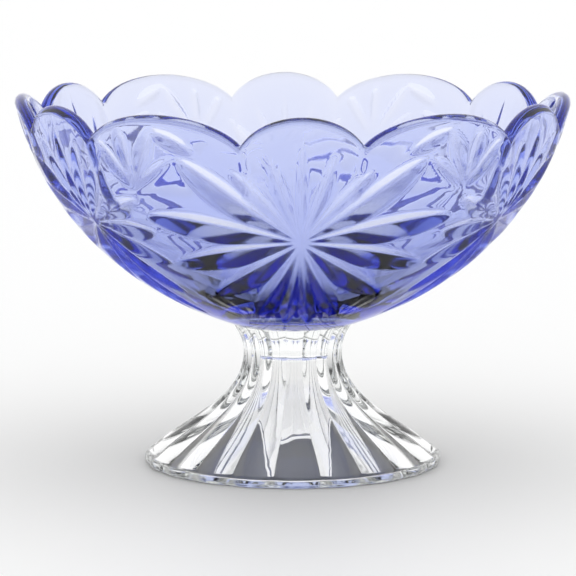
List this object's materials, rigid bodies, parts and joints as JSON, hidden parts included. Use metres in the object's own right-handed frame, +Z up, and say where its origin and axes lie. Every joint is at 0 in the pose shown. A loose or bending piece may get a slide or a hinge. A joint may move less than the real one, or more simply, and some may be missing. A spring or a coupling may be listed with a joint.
{
  "type": "footed glass bowl",
  "caption": "Deep scalloped bowl in pressed blue glass with star and fan cuts, bonded to a clear ribbed pedestal foot.",
  "frame": {"origin": "centre of the foot's rest ring, on the table", "axes": "+Z up along the bowl's axis; a narrow lobe of the rim and the star below it face -Y; wide lobes face +X and -X"},
  "size_m": [0.22, 0.2164, 0.147],
  "materials": {
    "blue_glass": "pressed soda-lime glass tinted through with cobalt, fire-polished, transparent",
    "clear_glass": "pressed clear soda-lime glass, fire-polished, transparent",
    "clear_adhesive": "film of clear UV-cured adhesive between two ground glass faces"
  },
  "bodies": {
    "root": {"bowl": "blue_glass", "foot": "clear_glass", "bond_layer": "clear_adhesive"}
  },
  "joints": []
}
